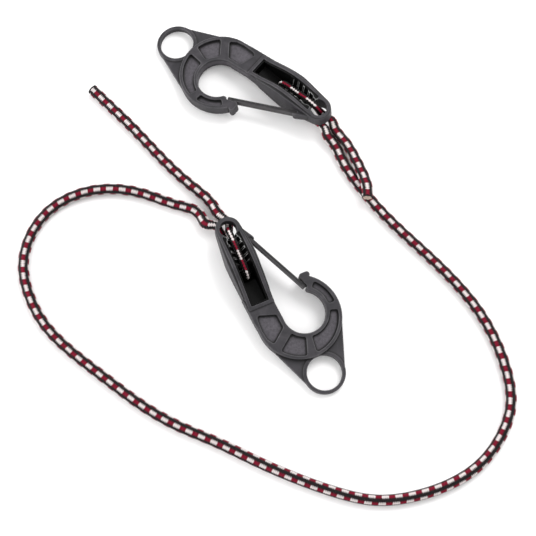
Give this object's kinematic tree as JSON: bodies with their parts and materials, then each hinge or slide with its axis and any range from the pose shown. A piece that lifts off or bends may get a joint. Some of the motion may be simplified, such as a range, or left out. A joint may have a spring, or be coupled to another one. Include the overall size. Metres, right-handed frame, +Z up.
{
  "type": "adjustable shock cord lanyard",
  "caption": "Braided elastic cord with a moulded snap hook at each end; each hook has a finger ring, a sprung gate, and a toothed cleat that jams the cord so its length can be set.",
  "frame": {"origin": "bottom centre of the box round the two hooks, on the table they lie on; the cord is left out of that box", "axes": "+Z up from the table; the lanyard lies in the XY plane with one hook's ring towards -X +Y and the other's towards +X -Y"},
  "size_m": [0.265, 0.2718, 0.0208],
  "materials": {
    "hook_plastic": "moulded, satin",
    "insert_plastic": "smooth",
    "braid": "woven polyester sheath",
    "core_rubber": "cut latex strands"
  },
  "bodies": {
    "lanyard": {"hook_a_body": "hook_plastic", "hook_a_insert": "insert_plastic", "hook_b_body": "hook_plastic", "hook_b_insert": "insert_plastic", "cord_run": "braid", "cord_short_tail": "braid", "cord_long_tail": "braid", "cord_bight_a": "braid", "cord_bight_b": "braid", "core_short_1": "core_rubber", "core_short_2": "core_rubber", "core_short_3": "core_rubber", "core_short_4": "core_rubber", "core_short_5": "core_rubber", "core_short_6": "core_rubber", "core_short_7": "core_rubber", "core_long_1": "core_rubber", "core_long_2": "core_rubber", "core_long_3": "core_rubber", "core_long_4": "core_rubber", "core_long_5": "core_rubber", "core_long_6": "core_rubber", "core_long_7": "core_rubber"},
    "gate_a": {"hook_a_gate": "hook_plastic"},
    "gate_b": {"hook_b_gate": "hook_plastic"}
  },
  "joints": [
    {"name": "gate_a_hinge", "type": "hinge", "parent": "lanyard", "child": "gate_a", "pos_m": [0.02628, 0.04933, 0.01132], "axis": [0.0887, -0.0502, -0.9948], "range_deg": [0, 20], "stiffness_Nm_per_rad": 0.4},
    {"name": "gate_b_hinge", "type": "hinge", "parent": "lanyard", "child": "gate_b", "pos_m": [0.00137, -0.02432, 0.01132], "axis": [-0.057, 0.0845, -0.9948], "range_deg": [0, 20], "stiffness_Nm_per_rad": 0.4}
  ]
}
